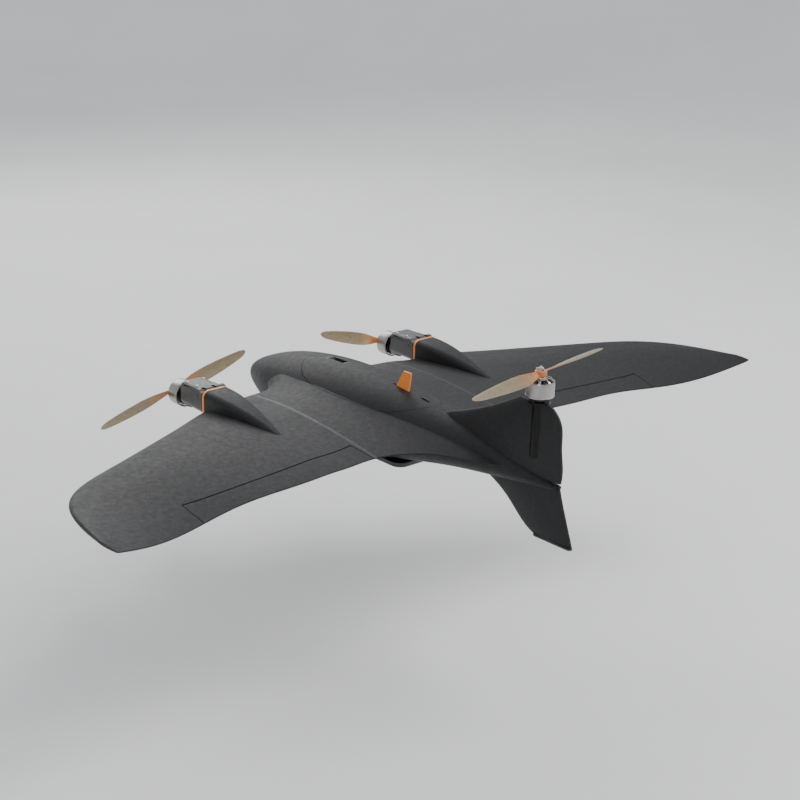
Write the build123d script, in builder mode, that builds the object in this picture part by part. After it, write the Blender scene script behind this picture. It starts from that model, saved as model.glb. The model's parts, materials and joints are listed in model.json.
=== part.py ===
"""Tilt-rotor flying wing model aircraft of one metre span, in foam, plastic and carbon.

Frame: +Z up, nose towards -Y, port wing towards +X, millimetres. The origin lies on the flat
underside of the belly skid, in the plane of symmetry. Pieces that come in pairs are made for the
port side and mirrored.
"""
import math
import os

from build123d import *

os.makedirs("parts", exist_ok=True)

# ---- driving dimensions ------------------------------------------------------------------------
water_z = 48.0        # height of the wing's reference plane above the belly skid's underside
joint_x = 110.0       # the wing panels join the centre body here
tip_x = 500.0
edge_thick = 1.6      # thickness of the foam at a trailing edge

skid_height = 6.0
floor_z = water_z - 36.0      # floor of the equipment bay
ledge_z = water_z + 12.0      # the hatch rests here
bay_half = 30.0
bay_front = -206.0
bay_rear = 48.0

pod_x = 172.0
pod_width = 38.0
pod_top = water_z + 37.5
pod_low = water_z + 4.0
ring_front = -129.5
ring_depth = 3.6
tilt_radius = 8.0             # radius of the nacelle's hinge barrel
tilt_y = ring_front - tilt_radius - 1.5
tilt_z = pod_top - tilt_radius
nacelle_front = -178.0
shaft_radius = 1.5
running_gap = 0.06
tilt_arm = 13.0
servo_y = tilt_y + 34.0
servo_z = tilt_z - 9.0
link_x = pod_x - 12.5         # plane of the tilt linkage

motor_z = water_z + 13.0      # height of the front thrust line
collar_length = 7.0           # round seat of the front motor, ahead of the nacelle
bell_radius = 16.5
bell_length = 21.0
base_radius = 13.0
front_radius = 114.0          # 9 inch propellers in front
rear_radius = 127.0           # 10 inch propeller at the rear
front_blade_angle = 15.0
rear_blade_angle = 9.4

post_y = 248.0
post_radius = 7.75
post_foot = water_z + 24.0
post_top = water_z + 88.0

spar_y = -62.0
spar_z = water_z + 6.0
spar_radius = 5.0
spar_reach = 220.0
rear_spar_y = 54.0
rear_spar_z = water_z + 3.5
rear_spar_radius = 3.0
rear_spar_reach = 160.0

hinge_inner_x, hinge_inner_y = 118.0, 66.5
hinge_outer_x, hinge_outer_y = 363.0, 83.0
hinge_depth = 4.7             # hinge line below the upper surface, at both ends of the elevon
hinge_rod_radius = 1.0
elevon_drive_x = 226.0
elevon_arm_length = 15.0
elevon_link_y = -58.0         # servo shaft relative to the hinge line, forwards

# x, leading edge y and height, trailing edge y and height, thickness; heights count from water_z
wing_stations = [
    (0, -200, 3, 200, 5, 56),
    (38, -199, 3, 172, 5, 50),
    (52, -182, 3, 143, 5, 43),
    (68, -163, 3, 124, 4.5, 36),
    (88, -154, 3.5, 111, 4, 31),
    (110, -152, 4, 103, 3.2, 28),
    (172, -136, 6.3, 103, 1.6, 24.5),
    (245, -102, 9, 104, -1, 22),
    (340, -55, 11, 112, -4.8, 18.5),
    (418, -18, 12.3, 136, -2.5, 14.5),
    (460, 16, 13.5, 151, 6, 11),
    (484, 64, 15.3, 160, 13, 8),
    (498, 134, 18.5, 167, 19, 4),
]

# y, half width, height of the top and of the underside over the reference plane
body_stations = [
    (-280, 3, -6, -13),
    (-272, 14, 3, -20),
    (-247, 29, 17, -32),
    (-202, 47, 33, -44),
    (-150, 58, 43, -50),
    (-83, 62, 48, -51),
    (0, 58, 45, -48),
    (60, 46, 39, -38),
    (120, 32, 32, -27),
    (180, 21, 22, -19),
    (240, 12, 8, -12),
    (284, 5, -1, -7),
]

chord_steps = 8


# ---- helpers -----------------------------------------------------------------------------------
def write(piece, name):
    """Label one finished piece and write its STEP file."""
    piece.part.label = name
    export_step(piece.part, f"parts/{name}.step")


def write_pair(piece, name):
    """Write the port piece and its mirror image for starboard."""
    write(piece, f"{name}_port")
    with BuildPart() as twin:
        mirror(piece.part, about=Plane.YZ)
    write(twin, f"{name}_starboard")


def half_thickness(t):
    """Half thickness of a rounded wing section at chord fraction t, as a share of its thickness."""
    return 5 * (0.2969 * math.sqrt(t) - 0.126 * t - 0.3516 * t**2 + 0.2843 * t**3 - 0.1036 * t**4)


def section_side(station, t, side):
    """Point (y, z) of a wing section at chord fraction t, on its upper (1) or lower (-1) side."""
    _, lead, z_lead, trail, z_trail, thick = station
    middle = water_z + z_lead + (z_trail - z_lead) * t
    camber = 0.05 * thick * 4 * t * (1 - t)
    half = thick * half_thickness(t) + edge_thick / 2 * t
    return (lead + (trail - lead) * t, middle + camber + side * half)


def wing_height(x, y, side):
    """Height of the wing's upper (1) or lower (-1) surface at a point of its plan."""
    outer = next(i for i, s in enumerate(wing_stations) if s[0] >= x)
    a, b = wing_stations[outer - 1], wing_stations[outer]
    w = (x - a[0]) / (b[0] - a[0])
    station = [p + (q - p) * w for p, q in zip(a, b)]
    t = (y - station[1]) / (station[3] - station[1])
    return section_side(station, t, side)[1]


def section_points(station):
    """Points round a wing section, from its trailing edge over the top and back underneath."""
    steps = [math.sin(math.pi / 2 * k / chord_steps) ** 2 for k in range(chord_steps + 1)]
    upper = [section_side(station, t, 1) for t in reversed(steps)]
    lower = [section_side(station, t, -1) for t in steps[1:]]
    return upper + lower


def slab(x0, x1, y0, y1, z0, z1, mode=Mode.ADD):
    """Add or cut a box given by its limits."""
    with Locations(((x0 + x1) / 2, (y0 + y1) / 2, (z0 + z1) / 2)):
        Box(x1 - x0, y1 - y0, z1 - z0, mode=mode)


def bar_x(radius, x0, x1, y, z, mode=Mode.ADD):
    """Add or cut a round bar along X."""
    with Locations(((x0 + x1) / 2, y, z)):
        Cylinder(radius, x1 - x0, rotation=(0, 90, 0), mode=mode)


# ---- foam: wing, fuselage, fins ----------------------------------------------------------------
with BuildPart() as half_wing:
    for wing_station in wing_stations:
        with BuildSketch(Plane.YZ.offset(wing_station[0])):
            with BuildLine():
                outline = section_points(wing_station)
                Spline(*outline)
                Line(outline[-1], outline[0])
            make_face()
    loft()

with BuildPart() as fuselage:
    for y, half_width, top, low in body_stations:
        with BuildSketch(Plane.XZ.offset(-y)):
            with Locations((0, water_z + (top + low) / 2)):
                Ellipse(half_width, (top - low) / 2)
    loft()

# y, half width and top height of the pod fairing over the reference plane
fairing_stations = [
    (ring_front, pod_width / 2, pod_top),
    (-92, 18.0, water_z + 35.5),
    (-50, 12.5, water_z + 28.5),
    (8, 3.5, water_z + 12.5),
]

with BuildPart() as fairing_form:
    for y, half_width, top in fairing_stations:
        base_z = pod_low if y < -100 else water_z + 2
        with BuildSketch(Plane.XZ.offset(-y)):
            with Locations((pod_x, (top + base_z) / 2)):
                corner = min(8.0, half_width * 0.6)
                RectangleRounded(2 * half_width, top - base_z, corner)
    loft()


def pod_cavity(mode=Mode.SUBTRACT):
    """Room for the tilt servo and its linkage inside the pod."""
    slab(pod_x - 16.3, pod_x + 14.6, ring_front - 1, -85, water_z + 3.2, water_z + 31, mode=mode)


# ---- hinge line of the elevon ------------------------------------------------------------------
hinge_a = Vector(hinge_inner_x, hinge_inner_y,
                 wing_height(hinge_inner_x, hinge_inner_y, 1) - hinge_depth)
hinge_b = Vector(hinge_outer_x, hinge_outer_y,
                 wing_height(hinge_outer_x, hinge_outer_y, 1) - hinge_depth)
hinge_length = (hinge_b - hinge_a).length
hinge_dir = (hinge_b - hinge_a).normalized()
hinge_back = Vector(-hinge_dir.Y, hinge_dir.X, 0).normalized()


def hinge_plane(along):
    """Plane across the hinge line: local x to the rear, local y up, normal towards the tip."""
    return Plane(origin=hinge_a + hinge_dir * along, x_dir=hinge_back, z_dir=hinge_dir)


elevon_face = -1.2            # front face of the elevon, rearwards from the hinge line
cove_face = -3.1              # rear face of the wing
end_gap = 1.0
far_back = 120.0
clip_width = 5.0
clip_places = [hinge_length * f for f in (0.1, 0.5, 0.9)]
drive_along = (elevon_drive_x - hinge_inner_x) / hinge_dir.X


def hinge_sweep(start, length, corners, mode):
    """Prism along the hinge line with the given corners in the plane across it."""
    with BuildSketch(hinge_plane(start)) as profile:
        with BuildLine():
            Polyline(*corners, close=True)
        make_face()
    extrude(profile.sketch, amount=length, mode=mode)


with BuildPart() as elevon:
    add(half_wing.part)
    hinge_sweep(0, hinge_length,
                [(elevon_face, -60), (far_back, -60), (far_back, 60), (elevon_face, 60)], Mode.INTERSECT)
    hinge_sweep(-2, hinge_length + 4,
                [(elevon_face - 2, -1.4), (elevon_face, -1.4), (elevon_face + 24, -40),
                 (elevon_face - 2, -40)],
                Mode.SUBTRACT)
    with BuildSketch(hinge_plane(-2)):
        Circle(hinge_rod_radius)
    extrude(amount=hinge_length + 4, mode=Mode.SUBTRACT)
    for place in clip_places:
        hinge_sweep(place - clip_width / 2 - 0.5, clip_width + 1,
                    [(-3, -12), (2.9, -12), (2.9, 2.3), (-3, 2.3)], Mode.SUBTRACT)
write_pair(elevon, "elevon")

with BuildPart() as hinge_rod:
    with BuildSketch(hinge_plane(1)):
        Circle(hinge_rod_radius)
    extrude(amount=hinge_length - 2)
write_pair(hinge_rod, "elevon_hinge_rod")

with BuildPart() as hinge_clips:
    for place in clip_places:
        start = place - clip_width / 2
        with BuildSketch(hinge_plane(start)):
            Circle(2.0)
            with Locations((-5, 0)):
                Rectangle(10, 2.8)
            Circle(hinge_rod_radius + running_gap, mode=Mode.SUBTRACT)
        extrude(amount=clip_width)
    mirror(about=Plane.YZ)
write(hinge_clips, "elevon_hinge_clips")

# ---- elevon drive: servo in the wing, arm, push rod and horn --------------------------------------
drive_shaft = Vector(elevon_link_y, 1.5)      # servo shaft in the plane across the hinge line
servo_width = 22.0


with BuildPart() as elevon_servo_form:
    with BuildSketch(hinge_plane(drive_along + 3.4)):
        with Locations((drive_shaft.X - 5.5, drive_shaft.Y)):
            Rectangle(23, 12)
    extrude(amount=servo_width)
    with BuildSketch(hinge_plane(drive_along + 2.0)):
        with Locations((drive_shaft.X, drive_shaft.Y)):
            Circle(5.6)
    extrude(amount=1.4)

with BuildPart() as elevon_servos:
    add(elevon_servo_form.part)
    with BuildSketch(hinge_plane(drive_along + 1.0)):
        with Locations((drive_shaft.X, drive_shaft.Y)):
            Circle(2.2)
    extrude(amount=1.0)
    mirror(about=Plane.YZ)
write(elevon_servos, "elevon_servos")


def crank(plane, root_x, root_y, pin_dx, pin_dy, thick, root_r, pin_r, hole_r):
    """Flat arm with round ends from its root to its pin hole, drawn on a plane."""
    length = math.hypot(pin_dx, pin_dy)
    turn = math.degrees(math.atan2(pin_dy, pin_dx))
    with BuildSketch(plane) as profile:
        with Locations((root_x, root_y)):
            Circle(root_r)
        with Locations((root_x + pin_dx, root_y + pin_dy)):
            Circle(pin_r)
        with Locations((root_x + pin_dx / 2, root_y + pin_dy / 2)):
            Rectangle(length, 2 * pin_r, rotation=turn)
        with Locations((root_x + pin_dx, root_y + pin_dy)):
            Circle(hole_r, mode=Mode.SUBTRACT)
    extrude(profile.sketch, amount=thick)


def push_rod(plane, from_x, from_y, to_x, to_y, pin_len):
    """Bent wire: a straight run between two pins that stand out along the plane's normal."""
    length = math.hypot(to_x - from_x, to_y - from_y)
    turn = math.degrees(math.atan2(to_y - from_y, to_x - from_x))
    with BuildSketch(plane) as run:
        with Locations(((from_x + to_x) / 2, (from_y + to_y) / 2)):
            SlotOverall(length + 2 * rod_radius, 2 * rod_radius, rotation=turn)
    extrude(run.sketch, amount=2 * rod_radius)
    with BuildSketch(plane) as pins:
        with Locations((from_x, from_y), (to_x, to_y)):
            Circle(pin_radius)
    extrude(pins.sketch, amount=2 * rod_radius + pin_len)


rod_radius = 0.9
pin_radius = 0.7
pin_clear = 0.15
arm_thick = 1.6

with BuildPart() as elevon_arm:
    crank(hinge_plane(drive_along - 0.8), drive_shaft.X, drive_shaft.Y, 0, -elevon_arm_length,
          arm_thick, 3.6, 2.2, pin_radius + 0.05)
write_pair(elevon_arm, "elevon_arm")

with BuildPart() as elevon_horn:
    with BuildSketch(hinge_plane(drive_along - 0.8)):
        with BuildLine():
            Polyline((8, -2), (20, -2), (2.2, -elevon_arm_length - 1), (-2.2, -elevon_arm_length - 1),
                     close=True)
        make_face()
        with Locations((0, -elevon_arm_length)):
            Circle(2.4)
            Circle(pin_radius + pin_clear, mode=Mode.SUBTRACT)
    extrude(amount=arm_thick)
    add(elevon.part, mode=Mode.SUBTRACT)
write_pair(elevon_horn, "elevon_horn")

with BuildPart() as elevon_rod:
    push_rod(hinge_plane(drive_along - 3.1), drive_shaft.X, drive_shaft.Y - elevon_arm_length,
             0, -elevon_arm_length, 2.2)
write_pair(elevon_rod, "elevon_rod")

# ---- centre body -------------------------------------------------------------------------------
hatch_half = 51.0
hatch_side = [(0, -150), (33, -136), (hatch_half, -90), (hatch_half, -20), (36, 46), (0, 80)]
hatch_gap = 0.5
rib_thick = 2.0
rib_gap = 0.1


def hatch_prism(grow, mode):
    """Upright prism with the outline of the hatch, grown by a clearance, from the ledge up."""
    front, rear = hatch_side[0][1], hatch_side[-1][1]
    middle, half = (front + rear) / 2, (rear - front) / 2
    side = [(x + grow * x / hatch_half, y + grow * (y - middle) / half) for x, y in hatch_side]
    other_side = [(-x, y) for x, y in reversed(side[1:-1])]
    with BuildSketch(Plane.XY.offset(ledge_z)) as profile:
        with BuildLine():
            Spline(*side, *other_side, periodic=True)
        make_face()
    extrude(profile.sketch, amount=60, mode=mode)


with BuildPart() as centre_form:
    add(fuselage.part)
    add(half_wing.part)
    mirror(half_wing.part, about=Plane.YZ)
    slab(-joint_x, joint_x, -400, 400, skid_height, 150, mode=Mode.INTERSECT)

scoop_y = -104.0
scoop_half = 6.0
scoop_length = 36.0
slot_y = 62.0
magnet_places = [(x, y) for x in (-40, 40) for y in (-100, 12)]

with BuildPart() as hatch:
    add(centre_form.part)
    hatch_prism(0, Mode.INTERSECT)
    slab(-60, 60, -200, 120, ledge_z, ledge_z + 0.2, mode=Mode.SUBTRACT)
    slab(-27, 27, -118, 44, ledge_z - 1, water_z + 34, mode=Mode.SUBTRACT)
    slab(-scoop_half - 0.1, scoop_half + 0.1, scoop_y - 20, scoop_y + 20, water_z + 30, 120,
         mode=Mode.SUBTRACT)
    slab(-1.6, 1.6, slot_y - 7, slot_y + 7, water_z + 29, water_z + 47, mode=Mode.SUBTRACT)
    with Locations(*[(x, y, ledge_z + 1.7) for x, y in magnet_places]):
        Cylinder(4.05, 3.4, mode=Mode.SUBTRACT)
    slab(-1.6, 1.6, 5, 33, water_z + 36, 120, mode=Mode.SUBTRACT)
write(hatch, "hatch")

with BuildPart() as pull_tab:
    with BuildSketch(Plane.YZ.offset(-1.5)):
        with BuildLine():
            Polyline((6, water_z + 36.2), (32, water_z + 36.2), (36, water_z + 65.5),
                     (23, water_z + 65.5), close=True)
        make_face()
        fillet(vertices().group_by(Axis.Y)[-1], 2)
    extrude(amount=3.0)
write(pull_tab, "pull_tab")

with BuildPart() as air_scoop:
    slab(-scoop_half, scoop_half, scoop_y - 19.9, scoop_y + 19.9, water_z + 30.5, water_z + 60)
    add(fuselage.part, mode=Mode.INTERSECT)
    with BuildSketch(Plane.YZ.offset(-scoop_half + 1.2)):
        with BuildLine():
            Polyline((scoop_y - 18, water_z + 47.5), (scoop_y + 12, water_z + 36),
                     (scoop_y + 14.5, water_z + 30), (scoop_y + 18.4, water_z + 30),
                     (scoop_y + 15, water_z + 60), (scoop_y - 18, water_z + 60), close=True)
        make_face()
    extrude(amount=2 * scoop_half - 2.4, mode=Mode.SUBTRACT)
write(air_scoop, "air_scoop")

with BuildPart() as hatch_magnets:
    with Locations(*[(x, y, ledge_z + 1.8) for x, y in magnet_places]):
        Cylinder(4.0, 3.0)
write(hatch_magnets, "hatch_magnets")

with BuildPart() as body_magnets:
    with Locations(*[(x, y, ledge_z - 1.8) for x, y in magnet_places]):
        Cylinder(4.0, 3.0)
write(body_magnets, "body_magnets")


# ---- fins --------------------------------------------------------------------------------------
def fin_section(lead, trail, z, half):
    """Level section of a fin: round nose, widest a third of the way back, thin square end."""
    wide = lead + (trail - lead) * 0.4
    late = lead + (trail - lead) * 0.75
    with BuildSketch(Plane.XY.offset(z)) as section:
        with BuildLine():
            Spline((1.2, trail), (half * 0.72, late), (half, wide), (0, lead), (-half, wide),
                   (-half * 0.72, late), (-1.2, trail))
            Line((-1.2, trail), (1.2, trail))
        make_face()
    return section.sketch


# height over the reference plane, leading edge y, trailing edge y, half thickness
dorsal_stations = [(2, 60, 287, 9), (32, 92, 286.5, 8.5), (56, 156, 285, 6), (76, 198, 280, 4.6),
                   (87.5, 219, 267, 4.2)]
ventral_stations = [(0, 120, 285, 7), (-14, 158, 289, 6.5), (-30, 194, 294.5, 6), (-50, 220, 302, 5),
                    (-69, 248, 309, 3.6)]

with BuildPart() as dorsal_fin:
    loft([fin_section(lead, trail, water_z + height, half)
          for height, lead, trail, half in dorsal_stations])
    add(fuselage.part, mode=Mode.SUBTRACT)
    with Locations((0, post_y, (post_foot + post_top) / 2 + 10)):
        Cylinder(post_radius, post_top - post_foot + 20, mode=Mode.SUBTRACT)
write(dorsal_fin, "dorsal_fin")

with BuildPart() as ventral_fin:
    loft([fin_section(lead, trail, water_z + height, half)
          for height, lead, trail, half in ventral_stations])
    add(fuselage.part, mode=Mode.SUBTRACT)
write(ventral_fin, "ventral_fin")

with BuildPart() as tail_skid:
    with BuildSketch(Plane.XY.offset(water_z - 71)):
        with Locations((0, 280)):
            SlotOverall(58, 7.6, rotation=90)
    extrude(amount=2.0)
write(tail_skid, "tail_skid")

# ---- belly skid, centre body and its root ribs ---------------------------------------------------
skid_y0, skid_y1, skid_half = -150.0, 50.0, 29.0
skid_holes = (40.0, 120.0)

with BuildPart() as belly_skid:
    with BuildSketch():
        with Locations((0, (skid_y0 + skid_y1) / 2)):
            RectangleRounded(2 * skid_half, skid_y1 - skid_y0, 14)
    extrude(amount=skid_height)
    fillet(belly_skid.faces().sort_by(Axis.Z)[0].edges(), 2.0)
    with Locations((0, (skid_y0 + skid_y1) / 2, 0)):
        with GridLocations(*skid_holes, 2, 2):
            Cylinder(1.6, 40, mode=Mode.SUBTRACT)
write(belly_skid, "belly_skid")

with BuildPart() as centre_body:
    add(centre_form.part)
    hatch_prism(hatch_gap, Mode.SUBTRACT)
    slab(-bay_half, bay_half, bay_front, bay_rear, floor_z, ledge_z, mode=Mode.SUBTRACT)
    bar_x(spar_radius, -joint_x, joint_x, spar_y, spar_z, mode=Mode.SUBTRACT)
    bar_x(rear_spar_radius, -joint_x, joint_x, rear_spar_y, rear_spar_z, mode=Mode.SUBTRACT)
    with Locations(*[(x, y, ledge_z - 1.7) for x, y in magnet_places]):
        Cylinder(4.05, 3.4, mode=Mode.SUBTRACT)
write(centre_body, "centre_body")

rib_inner_x = joint_x
rib_outer_x = joint_x + rib_thick + rib_gap
panel_x = rib_outer_x + rib_thick


def wing_slice(x0, x1):
    """The half wing between two stations, with the spar holes."""
    add(half_wing.part)
    slab(x0, x1, -400, 400, -100, 200, mode=Mode.INTERSECT)
    bar_x(spar_radius, 0, spar_reach, spar_y, spar_z, mode=Mode.SUBTRACT)
    bar_x(rear_spar_radius, 0, rear_spar_reach, rear_spar_y, rear_spar_z, mode=Mode.SUBTRACT)


with BuildPart() as inner_rib:
    wing_slice(rib_inner_x, rib_inner_x + rib_thick)

with BuildPart() as outer_rib:
    wing_slice(rib_outer_x, panel_x)

with BuildPart() as root_ribs:
    add(inner_rib.part)
    add(outer_rib.part)
    mirror(about=Plane.YZ)
write(root_ribs, "root_ribs")

for spar_name, radius, wall, reach, y, z in (
        ("main_spar", spar_radius, 1.0, spar_reach, spar_y, spar_z),
        ("rear_spar", rear_spar_radius, 0.8, rear_spar_reach, rear_spar_y, rear_spar_z)):
    with BuildPart() as spar:
        bar_x(radius, -reach, reach, y, z)
        bar_x(radius - wall, -reach, reach, y, z, mode=Mode.SUBTRACT)
    write(spar, spar_name)

# ---- outer wing panel --------------------------------------------------------------------------
with BuildPart() as wing:
    wing_slice(panel_x, tip_x + 1)
    hinge_sweep(-end_gap, hinge_length + 2 * end_gap,
                [(cove_face, -60), (far_back, -60), (far_back, 60), (cove_face, 60)], Mode.SUBTRACT)
    add(hinge_clips.part, mode=Mode.SUBTRACT)
    hinge_sweep(drive_along + 1.8, servo_width + 1.8,
                [(drive_shaft.X - 17.3, -60), (drive_shaft.X + 6.3, -60),
                 (drive_shaft.X + 6.3, drive_shaft.Y + 6.2), (drive_shaft.X - 17.3, drive_shaft.Y + 6.2)],
                Mode.SUBTRACT)
    hinge_sweep(drive_along - 4.5, 6.5,
                [(drive_shaft.X - 18, -60), (drive_shaft.X + 14, -60),
                 (drive_shaft.X + 14, drive_shaft.Y + 4.5), (drive_shaft.X - 18, drive_shaft.Y + 4.5)],
                Mode.SUBTRACT)
    hinge_sweep(drive_along - 4.5, 6.5,
                [(drive_shaft.X, -60), (0, -60), (0, -elevon_arm_length + 7),
                 (drive_shaft.X, drive_shaft.Y - 6)],
                Mode.SUBTRACT)
    slab(pod_x - pod_width / 2 - 1, pod_x + pod_width / 2 + 1, -200, ring_front + ring_depth, 0, 150,
         mode=Mode.SUBTRACT)
    pod_cavity()
write_pair(wing, "wing")

# ---- pod fairing, trim ring and tilt bracket -------------------------------------------------------
with BuildPart() as pod_fairing:
    add(fairing_form.part)
    slab(pod_x - 30, pod_x + 30, -200, ring_front + ring_depth, 0, 150, mode=Mode.SUBTRACT)
    add(half_wing.part, mode=Mode.SUBTRACT)
    slab(pod_x - 30, pod_x + 30, -200, 60, 0, water_z + 5, mode=Mode.SUBTRACT)
    pod_cavity()
write_pair(pod_fairing, "pod_fairing")

with BuildPart() as trim_rings:
    with BuildSketch(Plane.XZ.offset(-ring_front - ring_depth)):
        with Locations((pod_x, (pod_top + pod_low) / 2)):
            RectangleRounded(pod_width + 0.8, pod_top - pod_low + 0.8, 8.4)
            RectangleRounded(pod_width - 6, pod_top - pod_low - 6, 5, mode=Mode.SUBTRACT)
    extrude(amount=ring_depth - 0.1)
    mirror(about=Plane.YZ)
write(trim_rings, "trim_rings")

lug_places = (-4.0, 11.0)
lug_thick = 4.0

with BuildPart() as tilt_bracket:
    with BuildSketch(Plane.XZ.offset(-ring_front - 3.2)):
        with Locations((pod_x, (pod_top + pod_low) / 2)):
            RectangleRounded(pod_width - 6.2, pod_top - pod_low - 6.2, 4.9)
    extrude(amount=3.0)
    slab(link_x - 5, link_x + 4, ring_front - 1, ring_front + 4, water_z + 7, water_z + 27,
         mode=Mode.SUBTRACT)
    slab(pod_x - 8, pod_x + 14.3, ring_front + 3, -87, servo_z - 8, servo_z - 6.1)
    for lug in lug_places:
        slab(pod_x + lug - lug_thick / 2, pod_x + lug + lug_thick / 2, tilt_y, ring_front + 3,
             tilt_z - 4, tilt_z + 1.5)
        bar_x(6.5, pod_x + lug - lug_thick / 2, pod_x + lug + lug_thick / 2, tilt_y, tilt_z)
    bar_x(shaft_radius + running_gap, pod_x - 19, pod_x + 19, tilt_y, tilt_z, mode=Mode.SUBTRACT)
    mirror(about=Plane.YZ)
write(tilt_bracket, "tilt_brackets")

with BuildPart() as tilt_servos:
    slab(pod_x - 7.9, pod_x + 14.2, servo_y - 6, servo_y + 17, servo_z - 6, servo_z + 6)
    bar_x(5.6, pod_x - 9.4, pod_x - 7.9, servo_y, servo_z)
    bar_x(2.2, pod_x - 10.8, pod_x - 9.4, servo_y, servo_z)
    mirror(about=Plane.YZ)
write(tilt_servos, "tilt_servos")

# ---- tilting nacelle with its shaft, and the linkage that drives it ----------------------------------
arm_dx = tilt_arm * math.cos(math.radians(-45))
arm_dz = tilt_arm * math.sin(math.radians(-45))
nacelle_low_rear = water_z + 7.0
nacelle_low_front = water_z + 8.0
nacelle_wall = 2.2
nacelle_rear = tilt_y + tilt_radius

with BuildPart() as nacelle:
    with BuildSketch(Plane.XZ.offset(-nacelle_rear)):
        with Locations((pod_x, (pod_top + nacelle_low_rear) / 2)):
            RectangleRounded(pod_width, pod_top - nacelle_low_rear, 7)
    with BuildSketch(Plane.XZ.offset(-nacelle_front)):
        with Locations((pod_x, (pod_top - 1 + nacelle_low_front) / 2)):
            RectangleRounded(pod_width - 3, pod_top - 1 - nacelle_low_front, 7)
    loft()
    with Locations((pod_x, nacelle_front - collar_length / 2 + 1, motor_z)):
        Cylinder(base_radius, collar_length + 2, rotation=(90, 0, 0))
    slab(pod_x - pod_width / 2 + nacelle_wall, pod_x + pod_width / 2 - nacelle_wall, nacelle_front + 5, 0,
         nacelle_low_front + nacelle_wall + 0.3, pod_top - nacelle_wall - 1, mode=Mode.SUBTRACT)
    slab(pod_x - 25, pod_x + 25, tilt_y, 0, tilt_z, 150, mode=Mode.SUBTRACT)
    bar_x(tilt_radius, pod_x - pod_width / 2, pod_x + pod_width / 2, tilt_y, tilt_z)
    for lug in lug_places:
        bar_x(tilt_radius + 0.3, pod_x + lug - lug_thick / 2 - 0.4, pod_x + lug + lug_thick / 2 + 0.4,
              tilt_y, tilt_z, mode=Mode.SUBTRACT)
    crank(Plane.YZ.offset(link_x - 1.0), tilt_y, tilt_z, arm_dx, arm_dz, 2.0, 4.0, 2.6,
          pin_radius + pin_clear)
    bar_x(shaft_radius, pod_x - pod_width, pod_x + pod_width, tilt_y, tilt_z, mode=Mode.SUBTRACT)
    with Locations((pod_x, nacelle_front, motor_z + 1.5)):
        Cylinder(3.5, 20, rotation=(90, 0, 0), mode=Mode.SUBTRACT)
write_pair(nacelle, "nacelle")

with BuildPart() as tilt_shaft:
    bar_x(shaft_radius, pod_x - pod_width / 2 + 1, pod_x + pod_width / 2 - 1, tilt_y, tilt_z)
write_pair(tilt_shaft, "tilt_shaft")

with BuildPart() as tilt_arm_part:
    crank(Plane.YZ.offset(link_x - 0.8), servo_y, servo_z, arm_dx, arm_dz, arm_thick, 3.6, 2.2,
          pin_radius + 0.05)
write_pair(tilt_arm_part, "tilt_arm")

with BuildPart() as tilt_rod:
    push_rod(Plane.YZ.offset(link_x - 3.1), tilt_y + arm_dx, tilt_z + arm_dz,
             servo_y + arm_dx, servo_z + arm_dz, 2.4)
write_pair(tilt_rod, "tilt_rod")


# ---- motors and propellers ---------------------------------------------------------------------
rim_start = 5.5               # distances along a motor's axis are counted from its mounting face


def motor_base(plane):
    """Fixed half of a motor: mounting cross, base plate, bearing tube and wound stator."""
    with BuildSketch(plane) as cross:
        Rectangle(24, 7)
        Rectangle(7, 24)
        Circle(7.5)
    extrude(cross.sketch, amount=2.5)
    with BuildSketch(plane.offset(2.5)) as plate:
        Circle(base_radius)
        with PolarLocations(9.5, 4):
            Circle(1.6, mode=Mode.SUBTRACT)
    extrude(plate.sketch, amount=2.5)
    with BuildSketch(plane.offset(5.0)) as tube:
        Circle(4.0)
    extrude(tube.sketch, amount=18.0)
    with BuildSketch(plane.offset(6.5)) as stator:
        with PolarLocations(9.2, 12):
            SlotOverall(7.4, 3.6)
        Circle(6.2)
    extrude(stator.sketch, amount=14.0)
    with BuildSketch(plane) as bore:
        Circle(shaft_radius + running_gap)
    extrude(bore.sketch, amount=30.0, mode=Mode.SUBTRACT)


def motor_bell(plane):
    """Turning half of a motor: rim, spoked end, boss for the propeller and shaft."""
    with BuildSketch(plane.offset(rim_start)) as rim:
        Circle(bell_radius)
        Circle(bell_radius - 2.0, mode=Mode.SUBTRACT)
    extrude(rim.sketch, amount=bell_length - 3.0)
    with BuildSketch(plane.offset(rim_start + bell_length - 3.0)) as end:
        Circle(bell_radius)
        with PolarLocations(10.4, 6):
            SlotOverall(7.5, 4.6, mode=Mode.SUBTRACT)
    extrude(end.sketch, amount=3.0)
    with BuildSketch(plane.offset(rim_start + bell_length)) as boss:
        Circle(6.5)
    extrude(boss.sketch, amount=1.6)
    with BuildSketch(plane.offset(1.5)) as shaft:
        Circle(shaft_radius)
    extrude(shaft.sketch, amount=rim_start + bell_length + 12.5)


hub_start = rim_start + bell_length + 1.6
hub_height = 7.0
bolt_circle = 5.0


def blade_section(plane, radius, turn, chord, pitch, thick):
    """Cross-section of a blade at a radius, on a plane across the blade."""
    middle = plane.offset(hub_start + hub_height / 2)
    out = Vector(math.cos(math.radians(turn)), math.sin(math.radians(turn)), 0)
    across = Vector(-out.Y, out.X, 0)
    spot = middle.from_local_coords(out * radius)
    outward = middle.from_local_coords(out * (radius + 1)) - spot
    sideways = middle.from_local_coords(out * radius + across) - spot
    with BuildSketch(Plane(origin=spot, x_dir=sideways, z_dir=outward)) as section:
        Ellipse(chord / 2, thick / 2, rotation=pitch)
    return section.sketch


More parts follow.
